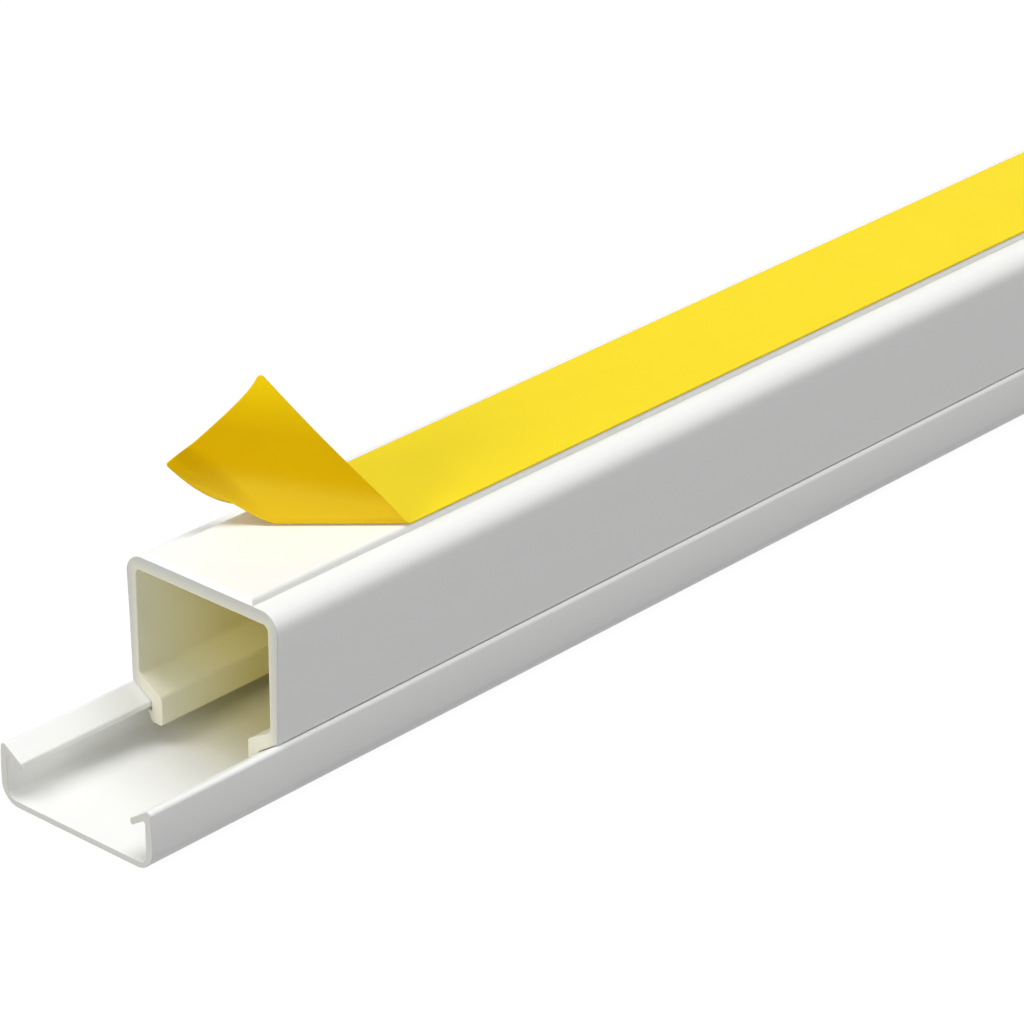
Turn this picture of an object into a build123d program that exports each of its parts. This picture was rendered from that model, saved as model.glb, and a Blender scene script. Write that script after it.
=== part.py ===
"""Self-adhesive mini trunking, a cord cover raceway of square section, lying on its lid.

Length runs along Y with the opened end at -Y. Z is up and the lid's underside is Z = 0.
All sizes are in millimetres.
"""
import os
from math import cos, hypot, radians, sin, tan

from build123d import *

# Stock
stock_length = 400.0
section_width = 16.0
section_height = 15.8
slide_out = 13.2

# Lid, a shallow channel with lips that slope inwards and down
lid_wall = 0.65
lid_web = 0.5
lid_height = 5.25
lid_corner_radius = 1.6
lid_inner_radius = 0.8
lid_shoulder_radius = 0.3
lip_reach = 2.2
lip_drop = 1.4
lip_thickness = 0.52

# Base channel, its walls step inwards to feet that stand between the lips
base_wall = 1.05
base_back = 1.1
base_corner_radius = 1.6
base_inner_radius = 0.5
seam_gap = 0.1
seam_slope = 0.1
seam_radius = 0.15
rebate_depth = 0.5
jog_wall = 0.66
jog_height = 1.35
foot_wall = 1.1
foot_lift = 1.65
barb_reach = 0.5
barb_height = 0.22
lip_clearance = 0.12

# Tape and the release liner on it
tape_width = 10.8
tape_thickness = 0.6
liner_thickness = 0.12

# Peeled flap, bent up about a slanted crease and curling on towards its tip
crease_angle = 44.0
flap_inset = 1.0
flap_left_length = 5.9
bend_radius = 0.6
bend_angle = 86.0
curl_angle = 26.0
tip_flat = 0.15
bend_steps = 5
side_steps = 3
tip_steps = 6

# Heights and stations that follow from the sizes above
half_width = section_width / 2
lip_slope = lip_drop / lip_reach
lip_depth = lip_thickness * hypot(1, lip_slope)
lip_tip = lid_height - lip_drop - lip_depth
seam_height = lid_height + seam_gap
neck = lip_reach + lip_clearance
foot_inner = neck + foot_wall
foot_bottom = lid_web + foot_lift
barb_top = lip_tip - lip_clearance
jog_outer_top = lid_height - lip_slope * rebate_depth + lip_clearance
jog_outer_bottom = lid_height - lip_slope * neck + lip_clearance
jog_inner_bottom = jog_outer_bottom + jog_wall
jog_inner_top = jog_inner_bottom + jog_height
ceiling = section_height - base_back
tape_top = section_height + tape_thickness
lid_start = -(stock_length + slide_out) / 2
base_start = lid_start + slide_out
base_end = base_start + stock_length

# Lid: the right half of the section is drawn, mirrored and run along the stock
with BuildPart() as lid:
    with BuildSketch(Plane.XZ.offset(-lid_start)):
        with BuildLine():
            Polyline(
                (0, 0),
                (half_width, 0),
                (half_width, lid_height),
                (half_width - lip_reach, lid_height - lip_drop),
                (half_width - lip_reach, lip_tip),
                (half_width - lid_wall, lid_height - lip_slope * lid_wall - lip_depth),
                (half_width - lid_wall, lid_web),
                (0, lid_web),
                close=True,
            )
        make_face()
        mirror(about=Plane.YZ)
    extrude(amount=-stock_length)
    long_edges = lid.edges().filter_by(Axis.Y).group_by(Axis.Z)
    fillet(long_edges[0], lid_corner_radius)
    shoulders = lid.edges().filter_by(Axis.Y).group_by(Axis.Z)[-1]
    fillet(shoulders, lid_shoulder_radius)
    web_top = lid.faces().filter_by(Axis.Z).sort_by(Axis.Z)[-1]
    fillet(web_top.edges().filter_by(Axis.Y), lid_inner_radius)
lid.part.label = "lid"

# Base channel: one wall with its step, foot and barb is drawn, then mirrored
with BuildPart() as base_channel:
    with BuildSketch(Plane.XZ.offset(-base_start)):
        with BuildLine():
            Polyline(
                (0, section_height),
                (half_width, section_height),
                (half_width, seam_height),
                (half_width - rebate_depth, seam_height - seam_slope),
                (half_width - rebate_depth, jog_outer_top),
                (half_width - neck, jog_outer_bottom),
                (half_width - neck, barb_top),
                (half_width - neck + barb_reach, barb_top),
                (half_width - neck + barb_reach, barb_top - barb_height),
                (half_width - neck, foot_bottom),
                (half_width - foot_inner, foot_bottom),
                (half_width - foot_inner, jog_inner_bottom),
                (half_width - base_wall, jog_inner_top),
                (half_width - base_wall, ceiling),
                (0, ceiling),
                close=True,
            )
        make_face()
        mirror(about=Plane.YZ)
    extrude(amount=-stock_length)
    back_faces = base_channel.faces().filter_by(Axis.Z).sort_by(Axis.Z)
    fillet(back_faces[-2].edges().filter_by(Axis.Y), base_inner_radius)
    fillet(base_channel.edges().filter_by(Axis.Y).group_by(Axis.Z)[-1], base_corner_radius)
    seam_edges = base_channel.edges().filter_by(Axis.Y).group_by(Axis.X)
    fillet([group.sort_by(Axis.Z)[0] for group in (seam_edges[0], seam_edges[-1])], seam_radius)
base_channel.part.label = "base_channel"

# Adhesive tape: a plain strip along the back
with BuildPart() as adhesive_tape:
    with BuildSketch(Plane.XY.offset(section_height)):
        with Locations((0, (base_start + base_end) / 2)):
            Rectangle(tape_width, stock_length)
    extrude(amount=tape_thickness)
adhesive_tape.part.label = "adhesive_tape"

# The flap's crease runs across the strip from right to left and towards the opened end.
# Distances along the flap are measured square to that crease.
turn = radians(crease_angle)
along_crease = Vector(-cos(turn), -sin(turn), 0)
off_crease = Vector(sin(turn), -cos(turn), 0)
crease_left = base_start + flap_inset + flap_left_length
crease_right = crease_left + tape_width * tan(turn)
crease_corner = Vector(tape_width / 2, crease_right, tape_top + liner_thickness / 2)
flap_right_length = flap_left_length + tape_width * tan(turn)
left_corner = flap_left_length * cos(turn)
tip = flap_right_length * cos(turn)
bend_end = bend_radius * radians(bend_angle)

# Stations of the flap's sections: round the bend, up to the left corner, on to the tip
stations = [bend_end * step / bend_steps for step in range(bend_steps)]
stations += [bend_end + (left_corner - bend_end) * step / side_steps for step in range(side_steps)]
stations += [left_corner + (tip - tip_flat - left_corner) * step / tip_steps for step in range(tip_steps + 1)]

# Release liner: the flat strip stops at the crease, and the flap is lofted on through
# thin sections that lie along the bend's straight rulings
with BuildPart() as release_liner:
    with BuildSketch(Plane.XY.offset(tape_top)):
        with BuildLine():
            Polyline(
                (tape_width / 2, crease_right),
                (tape_width / 2, base_end),
                (-tape_width / 2, base_end),
                (-tape_width / 2, crease_left),
                close=True,
            )
        make_face()
    extrude(amount=liner_thickness)
    run = rise = last_station = last_angle = 0.0
    for station in stations:
        curl = radians(curl_angle) * (max(station - bend_end, 0) / (tip - bend_end)) ** 2
        angle = min(station, bend_end) / bend_radius + curl
        run += (station - last_station) * cos((angle + last_angle) / 2)
        rise += (station - last_station) * sin((angle + last_angle) / 2)
        right_end = station * tan(turn)
        left_edge = (tape_width + station * sin(turn)) / cos(turn)
        end_edge = (flap_right_length - station * cos(turn)) / sin(turn)
        left_end = min(left_edge, end_edge)
        middle = crease_corner + along_crease * ((right_end + left_end) / 2) + off_crease * run
        section = Plane(
            origin=middle + Vector(0, 0, rise),
            x_dir=along_crease,
            z_dir=off_crease * cos(angle) + Vector(0, 0, sin(angle)),
        )
        with BuildSketch(section):
            Rectangle(left_end - right_end, liner_thickness)
        last_station = station
        last_angle = angle
    loft(ruled=True)
release_liner.part.label = "release_liner"

os.makedirs("parts", exist_ok=True)
for piece in (lid, base_channel, adhesive_tape, release_liner):
    export_step(piece.part, f"parts/{piece.part.label}.step")
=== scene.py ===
"""Self-adhesive mini trunking lying upside down on its slid-out lid, liner peeled up at one end."""

from math import radians

import bpy
import numpy as np
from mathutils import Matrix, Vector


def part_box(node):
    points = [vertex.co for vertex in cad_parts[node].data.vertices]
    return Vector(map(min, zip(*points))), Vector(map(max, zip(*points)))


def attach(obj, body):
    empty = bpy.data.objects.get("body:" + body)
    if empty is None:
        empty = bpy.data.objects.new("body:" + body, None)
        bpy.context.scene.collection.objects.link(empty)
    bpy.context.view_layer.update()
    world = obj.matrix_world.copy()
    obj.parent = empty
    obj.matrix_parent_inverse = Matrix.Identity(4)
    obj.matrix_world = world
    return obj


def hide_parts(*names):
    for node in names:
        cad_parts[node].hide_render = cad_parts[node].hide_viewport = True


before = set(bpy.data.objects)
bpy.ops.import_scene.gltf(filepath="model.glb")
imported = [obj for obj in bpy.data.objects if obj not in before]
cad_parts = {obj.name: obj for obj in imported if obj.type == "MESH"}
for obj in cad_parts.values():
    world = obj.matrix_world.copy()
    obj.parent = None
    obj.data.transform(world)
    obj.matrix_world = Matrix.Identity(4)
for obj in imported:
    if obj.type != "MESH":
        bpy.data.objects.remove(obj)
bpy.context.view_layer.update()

# The lid: a shallow channel of rigid white PVC, extruded in long lengths and sawn square.
# Its lips slope inwards and snap over the base's barbs. It lies on the floor, slid out at the near end.
mm = 0.001
lid_low, lid_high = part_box("lid")
half_width = lid_high.x
lid_height = 5.25 * mm
lid_wall = 0.65 * mm
lid_web = 0.5 * mm
lid_bulge = 0.06 * mm
bulge_height = 2.9 * mm
shoulder_lean = 0.06 * mm
lip_reach = 2.2 * mm
lip_drop = 1.4 * mm
lip_depth = 0.616 * mm
lip_slope = lip_drop / lip_reach
lip_tip = lid_height - lip_drop - lip_depth
lip_root = lid_height - lip_slope * lid_wall - lip_depth
cut_edge = 0.04 * mm
sharp_angle = radians(32)
arc_steps = 10


def rounded_section(right_corners):
    """Outline of a section that is symmetric about Z: the right-hand corners, each with its X, its Z
    and its radius, then their mirror image in reverse. At each corner an arc of that radius runs from
    the point where it leaves one side to the point where it meets the next, turning about a centre on
    the bisector."""
    right = np.array(right_corners)
    corner = np.concatenate([right[:, :2], right[::-1, :2] * (-1, 1)])
    radius = np.concatenate([right[:, 2:], right[::-1, 2:]])
    back = np.roll(corner, 1, 0) - corner
    ahead = np.roll(corner, -1, 0) - corner
    back /= np.linalg.norm(back, axis=1, keepdims=True)
    ahead /= np.linalg.norm(ahead, axis=1, keepdims=True)
    half = np.arccos(np.clip((back * ahead).sum(1, keepdims=True), -1, 1)) / 2
    middle = (back + ahead) / np.linalg.norm(back + ahead, axis=1, keepdims=True)
    centre = corner + middle * radius / np.sin(half)
    first = corner + back * radius / np.tan(half) - centre
    last = corner + ahead * radius / np.tan(half) - centre
    cross = first[:, 0] * last[:, 1] - first[:, 1] * last[:, 0]
    sweep = np.arctan2(cross, (first * last).sum(1))
    turn = np.arctan2(first[:, 1], first[:, 0])[:, None] + sweep[:, None] * np.linspace(0, 1, arc_steps)
    arc = centre[:, None] + radius[:, None] * np.stack([np.cos(turn), np.sin(turn)], -1)
    return arc.reshape(-1, 2)


def extruded(name, outline, start, end):
    """The outline carried along Y from start to end, with both sawn ends closed and their sharp edge
    broken: there the outline is drawn in along its own normals by the width of the broken edge."""
    ahead = np.roll(outline, -1, 0) - np.roll(outline, 1, 0)
    normal = np.stack([ahead[:, 1], -ahead[:, 0]], -1)
    normal /= np.linalg.norm(normal, axis=1, keepdims=True)
    drawn_in = outline - normal * cut_edge
    rings = [drawn_in, outline, outline, drawn_in]
    stations = [start, start + cut_edge, end - cut_edge, end]
    count = len(outline)
    verts = np.concatenate([np.insert(ring, 1, y, axis=1) for ring, y in zip(rings, stations)])
    here = np.arange(count)
    beside = np.roll(here, -1)
    strips = [np.stack([here, here + count, beside + count, beside], -1) + k * count for k in range(3)]
    faces = np.concatenate(strips).tolist() + [here.tolist(), (here[::-1] + 3 * count).tolist()]
    mesh = bpy.data.meshes.new(name)
    mesh.from_pydata(verts.tolist(), [], faces)
    mesh.set_sharp_from_angle(angle=sharp_angle)
    piece = bpy.data.objects.new(name, mesh)
    bpy.context.scene.collection.objects.link(piece)
    return piece


def linear(code):
    """A colour written as sRGB hex, turned to linear light."""
    srgb = np.array([int(code[i:i + 2], 16) for i in (1, 3, 5)]) / 255
    light = np.where(srgb <= 0.04045, srgb / 12.92, ((srgb + 0.055) / 1.055) ** 2.4)
    return (*light.tolist(), 1.0)


def add(tree, kind, settings=None, **links):
    """Adds a node, sets its properties and inputs, and links sockets into it. A name in settings
    that is an input socket sets that input, and any other name is a property."""
    node = tree.nodes.new(kind)
    for key, value in (settings or {}).items():
        if key in node.inputs:
            node.inputs[key].default_value = value
        else:
            setattr(node, key, value)
    for key, source in links.items():
        tree.links.new(source, node.inputs[key.replace("_", " ")])
    return node


def principled(name, colour, roughness, ior):
    """A new material with its Principled shader, and the node tree to add its detail to."""
    material = bpy.data.materials.new(name)
    material.use_nodes = True
    tree = material.node_tree
    shader = tree.nodes["Principled BSDF"]
    shader.inputs["Base Color"].default_value = linear(colour)
    shader.inputs["Roughness"].default_value = roughness
    shader.inputs["IOR"].default_value = ior
    return material, tree, shader


def pvc_skin(name, colour):
    """Rigid PVC straight from the die: a soft sheen, with die lines a few tenths of a millimetre
    apart that run the whole length, and a slow waviness where the profile was drawn off."""
    material, tree, shader = principled(name, colour, roughness=0.34, ior=1.53)
    place = add(tree, "ShaderNodeTexCoord").outputs["Object"]
    die_line = 0.35 * mm
    line_run = 220 * mm
    lines = add(tree, "ShaderNodeMapping", {"Scale": (1 / die_line, 1 / line_run, 1 / die_line)},
                Vector=place)
    streak = add(tree, "ShaderNodeTexNoise", {"Scale": 1.0, "Detail": 3.0}, Vector=lines.outputs[0])
    wave_size = 9 * mm
    wave = add(tree, "ShaderNodeTexNoise", {"Scale": 1 / wave_size, "Detail": 1.0}, Vector=place)
    gloss = add(tree, "ShaderNodeMapRange", {"To Min": 0.28, "To Max": 0.42}, Value=streak.outputs["Fac"])
    tree.links.new(gloss.outputs[0], shader.inputs["Roughness"])
    die = add(tree, "ShaderNodeBump", {"Strength": 0.25, "Distance": 0.01 * mm}, Height=streak.outputs["Fac"])
    soft = add(tree, "ShaderNodeBump", {"Strength": 0.2, "Distance": 0.06 * mm}, Height=wave.outputs["Fac"],
               Normal=die.outputs[0])
    tree.links.new(soft.outputs[0], shader.inputs["Normal"])
    return material


def pvc_cut(name, colour):
    """The sawn end of rigid PVC: matt and a little chalky, with fine saw marks across the wall."""
    material, tree, shader = principled(name, colour, roughness=0.62, ior=1.53)
    place = add(tree, "ShaderNodeTexCoord").outputs["Object"]
    mark = 0.22 * mm
    across = 6 * mm
    saw_slant = radians(28)
    turned = add(tree, "ShaderNodeMapping",
                 {"Rotation": (0, saw_slant, 0), "Scale": (1 / across, 1 / mark, 1 / mark)}, Vector=place)
    saw = add(tree, "ShaderNodeTexNoise", {"Scale": 1.0, "Detail": 4.0}, Vector=turned.outputs[0])
    bump = add(tree, "ShaderNodeBump", {"Strength": 0.5, "Distance": 0.03 * mm}, Height=saw.outputs["Fac"])
    tree.links.new(bump.outputs[0], shader.inputs["Normal"])
    return material


def painted_bounce_tint(material, colour, start, end, clear, full):
    """Paints a PVC deeper cream inside the stock: none of it up to the clear distance from the nearer sawn
    end, all of it past the full distance, and evenly more in between. The deeper cream is painted light: it
    stands in for the yellowed light that bounces between the cream faces inside the channel, and is not a
    colour of the plastic."""
    tree = material.node_tree
    shader = tree.nodes["Principled BSDF"]
    place = add(tree, "ShaderNodeTexCoord").outputs["Object"]
    along = add(tree, "ShaderNodeSeparateXYZ", Vector=place).outputs["Y"]
    off = add(tree, "ShaderNodeMath", {"operation": "SUBTRACT"})
    off.inputs[1].default_value = (start + end) / 2
    tree.links.new(along, off.inputs[0])
    away = add(tree, "ShaderNodeMath", {"operation": "ABSOLUTE"}, Value=off.outputs[0])
    half = (end - start) / 2
    share = add(tree, "ShaderNodeMapRange", {"From Min": half - full, "From Max": half - clear, "To Min": 1.0,
                                             "To Max": 0.0}, Value=away.outputs[0])
    near = tuple(shader.inputs["Base Color"].default_value)
    mix = add(tree, "ShaderNodeMixRGB", {"Color1": near, "Color2": linear(colour)}, Fac=share.outputs[0])
    tree.links.new(mix.outputs[0], shader.inputs["Base Color"])


def faced(outline, inner_corners):
    """Material slots of an extruded piece, face by face: 0 on the skin, 2 on the strips that run from
    the given corners, counted right round the outline, and 1 on the sawn ends and their broken
    edges."""
    corner_of = np.arange(len(outline)) // arc_steps
    inside = np.isin(corner_of, inner_corners)
    skin = np.where(inside, 2, 0)
    return np.concatenate([np.ones_like(skin), skin, np.ones_like(skin), [1, 1]])


white = "#F2F3F1"
white_skin = pvc_skin("white PVC skin", white)
# The lid's sawn ends are darker than the skin: partly the matt saw cut, partly painted shade on the end
# faces.
sawn_pvc = pvc_cut("sawn PVC", "#B5B4AE")

lid_corners = [
    (half_width, 0, 1.75 * mm),
    (half_width + lid_bulge, bulge_height, 15 * mm),
    (half_width - shoulder_lean, lid_height, 0.35 * mm),
    (half_width - lip_reach, lid_height - lip_drop, 0.26 * mm),
    (half_width - lip_reach, lip_tip, 0.18 * mm),
    (half_width - lid_wall, lip_root, 0.2 * mm),
    (half_width - lid_wall, lid_web, 0.8 * mm),
]
lid_outline = rounded_section(lid_corners)
lid = extruded("lid_cover", lid_outline, lid_low.y, lid_high.y)
# The lid's inside is white where it lies open, and turns faintly cream where the base covers it. That cream
# is painted light, standing in for light thrown off the cream base, so it stays on the lid wherever the lid
# is slid.
lid_inside_bounce_tint = pvc_skin("PVC inside of lid with painted bounce tint", white)
painted_bounce_tint(lid_inside_bounce_tint, "#F2ECC6", lid_low.y, lid_high.y, clear=13 * mm, full=21 * mm)
for material in (white_skin, sawn_pvc, lid_inside_bounce_tint):
    lid.data.materials.append(material)
inner_corners = [4, 5, 6, 7, 8]
lid_slots = faced(lid_outline, inner_corners)
lid.data.polygons.foreach_set("material_index", lid_slots)
lid.data.polygons.foreach_set("use_smooth", lid_slots != 1)
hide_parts("lid")
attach(lid, "lid")

# The base channel: a deep channel of the same white PVC, lying mouth down on the lid's lips.
# Its walls step in to feet with barbs, and its inside and sawn ends show the creamier core; further in, its
# inside is painted a deeper cream for light bounced between its faces.
base_low, base_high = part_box("base_channel")
base_wall = 1.05 * mm
base_back = 1.1 * mm
wall_bow = 0.2 * mm
seam_inset = 0.3 * mm
seam_drop = 0.215 * mm
seam_height = lid_height - seam_drop
seam_slope = 0.01 * mm
lip_clearance = 0.12 * mm
neck = lip_reach + lip_clearance
foot_wall = 1.1 * mm
foot_inner = neck + foot_wall
foot_bottom = base_low.z
barb_reach = 0.5 * mm
barb_height = 0.22 * mm
barb_top = lip_tip - lip_clearance
jog_reach = (lid_height + lip_clearance - seam_height + seam_slope) / lip_slope
jog_wall = 0.66 * mm
jog_height = 1.35 * mm
jog_bottom = lid_height - lip_slope * neck + lip_clearance
jog_inner_bottom = jog_bottom + jog_wall
jog_inner_top = jog_inner_bottom + jog_height
base_top = base_high.z
ceiling = base_top - base_back

base_corners = [
    (half_width - base_wall, ceiling, 0.5 * mm),
    (half_width - base_wall, jog_inner_top, 0.5 * mm),
    (half_width - foot_inner, jog_inner_bottom, 0.4 * mm),
    (half_width - foot_inner, foot_bottom, 0.25 * mm),
    (half_width - neck, foot_bottom, 0.2 * mm),
    (half_width - neck + barb_reach, barb_top - barb_height, 0.06 * mm),
    (half_width - neck + barb_reach, barb_top, 0.06 * mm),
    (half_width - neck, barb_top, 0.08 * mm),
    (half_width - neck, jog_bottom, 0.1 * mm),
    (half_width - jog_reach, seam_height - seam_slope, 0.1 * mm),
    (half_width - seam_inset, seam_height, 0.18 * mm),
    (half_width - wall_bow, (seam_height + base_top) / 2, 60 * mm),
    (half_width, base_top, 1.6 * mm),
]
base_outline = rounded_section(base_corners)
base = extruded("base_trunking", base_outline, base_low.y, base_high.y)
# The base's inside: its own cream near the sawn ends, then a painted bounce tint that deepens it further in,
# standing in for light yellowed by bouncing inside.
cream_core_bounce_tint = pvc_skin("cream PVC core with painted bounce tint", "#F9F9E6")
painted_bounce_tint(cream_core_bounce_tint, "#F7EDAA", base_low.y, base_high.y, clear=0.0, full=10 * mm)

# The sawn ends of the base: a grey-white rim at the outer skin, which turns creamier towards the inside of
# the wall. Both tones sit well below the skin's white: partly the matt saw cut, partly painted shade on the
# end faces.
rim_tone = "#AAAAA6"
core_tone = "#C4C1AE"
rim_depth = 0.1 * mm
core_depth = 1.3 * mm
cream_cut = pvc_cut("sawn cream PVC", core_tone)
tree = cream_cut.node_tree
place = add(tree, "ShaderNodeSeparateXYZ", Vector=add(tree, "ShaderNodeTexCoord").outputs["Object"])
aside = add(tree, "ShaderNodeMath", {"operation": "ABSOLUTE"}, Value=place.outputs["X"])
from_side = add(tree, "ShaderNodeMapRange", {"From Min": half_width, "From Max": 0.0, "To Max": half_width},
                Value=aside.outputs[0])
from_back = add(tree, "ShaderNodeMapRange", {"From Min": base_top, "From Max": 0.0, "To Max": base_top},
                Value=place.outputs["Z"])
depth = add(tree, "ShaderNodeMath", {"operation": "MINIMUM"})
tree.links.new(from_side.outputs[0], depth.inputs[0])
tree.links.new(from_back.outputs[0], depth.inputs[1])
into_core = add(tree, "ShaderNodeMapRange", {"From Min": rim_depth, "From Max": core_depth},
                Value=depth.outputs[0])
mix = add(tree, "ShaderNodeMixRGB", {"Color1": linear(rim_tone), "Color2": linear(core_tone)},
          Fac=into_core.outputs[0])
tree.links.new(mix.outputs[0], tree.nodes["Principled BSDF"].inputs["Base Color"])
for material in (white_skin, cream_cut, cream_core_bounce_tint):
    base.data.materials.append(material)
corner_count = 2 * len(base_corners)
inner_corners = [0, 1, 2, *range(corner_count - 4, corner_count)]
base_slots = faced(base_outline, inner_corners)
base.data.polygons.foreach_set("material_index", base_slots)
base.data.polygons.foreach_set("use_smooth", base_slots != 1)
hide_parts("base_channel")
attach(base, "base")

# The adhesive tape: white double-sided foam tape, laid along the back by machine.
# It is bare at the near end, where the liner has been peeled off it.
tape_low, tape_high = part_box("adhesive_tape")
tape_corners = [(tape_high.x, tape_low.z, 0.05 * mm), (tape_high.x, tape_high.z, 0.3 * mm)]
tape = extruded("foam_tape", rounded_section(tape_corners), tape_low.y, tape_high.y)
tape.data.polygons.foreach_set("use_smooth", np.ones(len(tape.data.polygons), bool))

# The tape's face: the eye gets a slightly tacky sheen over the small dimples of the foam's cells.
foam, tree, shader = principled("acrylic adhesive on white foam", "#F4F4F0", roughness=0.45, ior=1.47)
place = add(tree, "ShaderNodeTexCoord").outputs["Object"]
cell = 0.4 * mm
cells = add(tree, "ShaderNodeTexVoronoi", {"Scale": 1 / cell}, Vector=place)
dimple = add(tree, "ShaderNodeBump", {"Strength": 0.12, "Distance": 0.04 * mm},
             Height=cells.outputs["Distance"])
tree.links.new(dimple.outputs[0], shader.inputs["Normal"])
tape.data.materials.append(foam)
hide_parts("adhesive_tape")
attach(tape, "base")

# The release liner: a strip of yellow siliconised paper on the tape, as wide as the tape.
# Its end has been lifted and creased back on the slant, so the flap shows its darker underside.
liner_half = tape_high.x
liner_width = 2 * liner_half
liner_paper = 0.12 * mm
liner_far = base_high.y
crease_angle = radians(42.85)
flap_inset = 0.97 * mm
flap_left = 5.96 * mm
flap_reach = flap_left + liner_width * np.tan(crease_angle)
tight_bend = 0.4 * mm
bend_angle = radians(115.4)
fold_right = 1.1 * mm
fold_slope = 0.142
fold_spread = np.array([-0.4, 0, 0.4]) * mm
flap_lean = radians(87.4)
curl_angle = radians(28)
loose_bend = 5.37 * mm
loose_edge = 3.76 * mm
loose_start = 0.574
tip_radius = 0.5 * mm
tip_reach = 0.62 * mm
tip_spread = 1.23 * mm
corner_radius = 0.2 * mm
corner_trim = 0.7 * mm
path_reach = 1.5 * flap_reach
path_steps = 4000


def eased(share):
    """Nought to one along a smooth S: three times the square less twice the cube."""
    share = np.clip(share, 0, 1)
    return 3 * share ** 2 - 2 * share ** 3


def bent_strip(along, across, radius):
    """A flat strip bent about a crease that crosses it on the slant. A point's distance past the
    crease, measured square to it, runs round an arc of the given radius and up a straight face to a
    second, blunter fold, and from there up a steeper face that curls back towards its tip. A wider arc
    starts further back, by a share of the difference of the radii times the tangent of half the bend.
    The fold is softened by taking the mean of a few parallel ones."""
    early = loose_start * (radius - tight_bend) * np.tan(bend_angle / 2)
    bend_end = early + tight_bend * bend_angle
    crease_right = flap_inset + flap_reach
    square = (crease_right - along) * np.cos(crease_angle) - across * np.sin(crease_angle) + early
    level = (crease_right - along) * np.sin(crease_angle) + across * np.cos(crease_angle)
    folds = bend_end + fold_right + fold_slope * level + fold_spread[:, None, None]
    folds = np.maximum(folds, radius * bend_angle)
    past = np.linspace(0, path_reach, path_steps)
    below = np.minimum(past / radius, bend_angle)
    above = flap_lean + curl_angle * (np.maximum(past - bend_end, 0) / flap_reach / np.cos(crease_angle)) ** 2

    def carried(turn):
        low = np.cumsum(turn(below)) * past[1]
        high = np.cumsum(turn(above)) * past[1]
        up_to_fold = np.interp(np.minimum(square, folds), past, low)
        past_fold = np.interp(np.maximum(square, folds), past, high) - np.interp(folds, past, high)
        return (up_to_fold + past_fold).mean(0)

    out = np.where(square > 0, carried(np.cos), square) - early
    up = np.where(square > 0, carried(np.sin), 0)
    x = liner_half - level * np.cos(crease_angle) + out * np.sin(crease_angle)
    y = base_low.y + crease_right - level * np.sin(crease_angle) - out * np.cos(crease_angle)
    return np.stack([x, y, tape_high.z + liner_paper / 2 + up], -1)


def grid_mesh(name, points):
    """A surface from a grid of points, rows by columns, as one mesh of four-sided faces."""
    rows, columns = points.shape[:2]
    index = np.arange(rows * columns).reshape(rows, columns)
    faces = np.stack([index[:-1, :-1], index[1:, :-1], index[1:, 1:], index[:-1, 1:]], -1).reshape(-1, 4)
    mesh = bpy.data.meshes.new(name)
    mesh.from_pydata(points.reshape(-1, 3).tolist(), [], faces.tolist())
    mesh.polygons.foreach_set("use_smooth", np.ones(len(faces), bool))
    piece = bpy.data.objects.new(name, mesh)
    bpy.context.scene.collection.objects.link(piece)
    return piece


def corner_cut(from_edge, radius):
    """How far a corner rounded to a radius falls short of its square end, at a distance in from the side."""
    return radius * (1 - np.sqrt(1 - np.clip(1 - from_edge / radius, 0, 1) ** 2))


flap_rows = 220
far_rows = 60
columns = 120
flap_part = 21 * mm
across = np.linspace(0, liner_width, columns)
loosened = eased((across - liner_width + loose_edge) / loose_edge)
end_cut = flap_inset - tip_reach * np.exp(-across / tip_spread) + corner_trim * loosened
end_cut += corner_cut(across, tip_radius) + corner_cut(liner_width - across, corner_radius)
near_part = np.linspace(0, 1, flap_rows)[:, None] * (flap_part - end_cut) + end_cut
far_end = liner_far - base_low.y
end_row = 0.1 * mm
far_part = np.append(np.linspace(flap_part, far_end - end_row, far_rows)[1:], far_end)[:, None] + 0 * across
along = np.concatenate([near_part, far_part])
creased = bent_strip(along, across, tight_bend)
lifted = bent_strip(along, across, loose_bend)
liner = grid_mesh("peeled_liner", creased + (lifted - creased) * loosened[:, None])


def release_paper(name, colour, shade, sheen):
    """Glassine paper with a silicone coat: smooth, with the faint cloudy look of dense paper
    fibres a few millimetres across, and a slight sheen from the coat."""
    material, tree, shader = principled(name, colour, roughness=0.5, ior=1.45)
    shader.inputs["Specular IOR Level"].default_value = sheen
    place = add(tree, "ShaderNodeTexCoord").outputs["Object"]
    cloud_size = 3.5 * mm
    cloud = add(tree, "ShaderNodeTexNoise", {"Scale": 1 / cloud_size, "Detail": 4.0}, Vector=place)
    tint = add(tree, "ShaderNodeMix", {"data_type": "RGBA"}, Factor=cloud.outputs["Fac"])
    tint.inputs["A"].default_value = linear(colour)
    tint.inputs["B"].default_value = linear(shade)
    tree.links.new(tint.outputs["Result"], shader.inputs["Base Color"])
    fibre = 0.25 * mm
    grain = add(tree, "ShaderNodeTexNoise", {"Scale": 1 / fibre, "Detail": 2.0}, Vector=place)
    bump = add(tree, "ShaderNodeBump", {"Strength": 0.15, "Distance": 0.015 * mm},
               Height=grain.outputs["Fac"])
    tree.links.new(bump.outputs[0], shader.inputs["Normal"])
    return material


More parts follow.
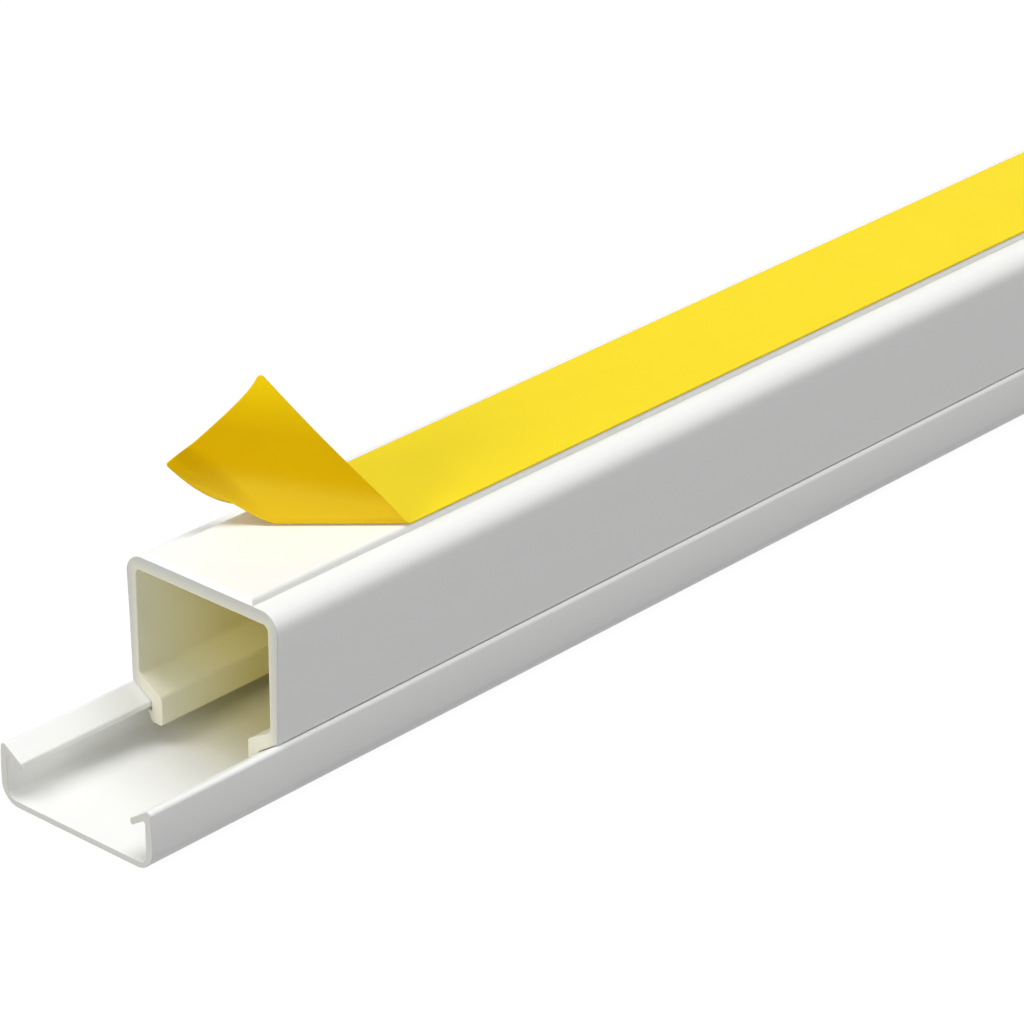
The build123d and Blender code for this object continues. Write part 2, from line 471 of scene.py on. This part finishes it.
# The flap's underside is darker. Its lighter tip is painted light, standing in for light coming through the
# free paper, and the paler band below the second fold is a painted reflection of the white tape under it.
underside = release_paper("release paper underside", "#D2A904", "#CCA102", sheen=0.02)
tree = underside.node_tree
shader = tree.nodes["Principled BSDF"]
place = add(tree, "ShaderNodeTexCoord").outputs["Object"]
slant = (fold_slope * np.cos(crease_angle), fold_slope * np.sin(crease_angle), 1.0)
rise = add(tree, "ShaderNodeVectorMath", {"operation": "DOT_PRODUCT"})
rise.inputs[1].default_value = slant
tree.links.new(place, rise.inputs[0])
crease_foot = np.dot(slant, (liner_half, base_low.y + flap_inset + flap_reach, tape_high.z))
# Heights along the flap for the painted reflection band at its foot and the painted light through its tip.
band_top = crease_foot + 2.6 * mm
band_full = crease_foot + 1.1 * mm
free_start = crease_foot + 5.5 * mm
free_end = crease_foot + 10.5 * mm
band = add(tree, "ShaderNodeMapRange", {"From Min": band_top, "From Max": band_full},
           Value=rise.outputs["Value"])
free = add(tree, "ShaderNodeMapRange", {"From Min": free_start, "From Max": free_end},
           Value=rise.outputs["Value"])
paper_tint = shader.inputs["Base Color"].links[0].from_socket
painted_tape_reflection = add(tree, "ShaderNodeMixRGB", {"Color2": linear("#D0AC1F")}, Color1=paper_tint, Fac=band.outputs[0])
painted_light_through = add(tree, "ShaderNodeMixRGB", {"Color2": linear("#E2C20C")}, Color1=painted_tape_reflection.outputs[0],
              Fac=free.outputs[0])
tree.links.new(painted_light_through.outputs[0], shader.inputs["Base Color"])
liner.data.materials.append(release_paper("yellow release paper", "#F6DD0E", "#F3D70A", sheen=0.25))
liner.data.materials.append(underside)
paper = liner.modifiers.new("paper", "SOLIDIFY")
paper.thickness = liner_paper
paper.offset = 0
paper.material_offset = 1
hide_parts("release_liner")
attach(liner, "base")

# The floor: a plain pale studio table under the whole object, a hair below the lid.
# It is white to the camera, and keeps the object's soft shadow.
floor_size = 12.0
floor_drop = 0.02 * mm
floor_points = np.array([[[x, y, -floor_drop] for x in (floor_size, -floor_size)]
                         for y in (-floor_size, floor_size)])
floor = grid_mesh("studio_floor", floor_points)


def seen_rays(tree):
    """One for a ray from the camera, a mirror or glass, and nought for the rays that light the object."""
    path = add(tree, "ShaderNodeLightPath")
    seen = path.outputs["Is Camera Ray"]
    for kind in ("Is Glossy Ray", "Is Transmission Ray"):
        either = add(tree, "ShaderNodeMath", {"operation": "MAXIMUM"})
        tree.links.new(seen, either.inputs[0])
        tree.links.new(path.outputs[kind], either.inputs[1])
        seen = either.outputs[0]
    return seen


# The table's surface: the eye gets a plain matt white. Most of what the camera sees is an even glow,
# and the rest is the lit table, which carries the shadow.
glow_strength = 1.2
glow_share = 0.8
pale_table, tree, shader = principled("pale table", "#A4A4A4", roughness=0.9, ior=1.45)
shader.inputs["Specular IOR Level"].default_value = 0.0
glow = add(tree, "ShaderNodeEmission", {"Strength": glow_strength})
share = add(tree, "ShaderNodeMapRange", {"To Min": 0.0, "To Max": glow_share}, Value=seen_rays(tree))
mixed = add(tree, "ShaderNodeMixShader", Fac=share.outputs[0])
tree.links.new(shader.outputs[0], mixed.inputs[1])
tree.links.new(glow.outputs[0], mixed.inputs[2])
tree.links.new(mixed.outputs[0], tree.nodes["Material Output"].inputs["Surface"])
floor.data.materials.append(pale_table)

# Soft studio light: a row of three boxes overhead, a low one in front, two weaker ones on the right,
# a weak low one on the left, and a dim even room.
room_light = 0.03
world = bpy.data.worlds.new("white room")
bpy.context.scene.world = world
world.use_nodes = True
room = world.node_tree.nodes["Background"]
room.inputs["Color"].default_value = linear("#FFFFFF")
level = add(world.node_tree, "ShaderNodeMapRange", {"To Min": room_light, "To Max": 1.0},
            Value=seen_rays(world.node_tree))
world.node_tree.links.new(level.outputs[0], room.inputs["Strength"])


def softbox(name, place, aim, size, power):
    """A square area lamp at a place, turned to face the aim point."""
    lamp = bpy.data.lights.new(name, "AREA")
    lamp.shape = "SQUARE"
    lamp.size = size
    lamp.energy = power
    box = bpy.data.objects.new(name, lamp)
    box.location = place
    box.rotation_mode = "QUATERNION"
    box.rotation_quaternion = (Vector(aim) - Vector(place)).to_track_quat("-Z", "Y")
    bpy.context.scene.collection.objects.link(box)


near_end = (0, -0.19, 0)
middle = (0, 0, 0)
softbox("over_box", (0, -0.19, 1.5), near_end, size=0.6, power=7.0)
softbox("left_box", (-0.45, -0.64, 1.36), near_end, size=0.6, power=6.1)
softbox("back_box", (0.45, 0.26, 1.36), near_end, size=0.6, power=5.8)
softbox("side_box", (1.42, 0.8, 1.0), near_end, size=0.8, power=3)
softbox("front_box", (0, -2.81, 0.65), near_end, size=1.2, power=60)
softbox("right_box", (2.1, -1.66, 0.83), near_end, size=1.2, power=8)
softbox("low_box", (-2.2, -0.1, 0.3), middle, size=0.5, power=7)

# The camera: a long lens that looks down on the near end from the right.
azimuth = radians(42.442)
elevation = radians(26.227)
aim = Vector((0, -0.15946, 0.00935))
distance = 0.38741
camera_data = bpy.data.cameras.new("camera")
camera_data.sensor_width = 36
camera_data.lens = 173.3
camera_data.clip_start = 0.01
camera = bpy.data.objects.new("camera", camera_data)
bpy.context.scene.collection.objects.link(camera)
back = Vector((np.sin(azimuth) * np.cos(elevation), -np.cos(azimuth) * np.cos(elevation),
                  np.sin(elevation)))
camera.location = aim + back * distance
camera.rotation_mode = "QUATERNION"
camera.rotation_quaternion = (-back).to_track_quat("-Z", "Y")
bpy.context.scene.camera = camera
bpy.context.scene.view_settings.view_transform = "Standard"
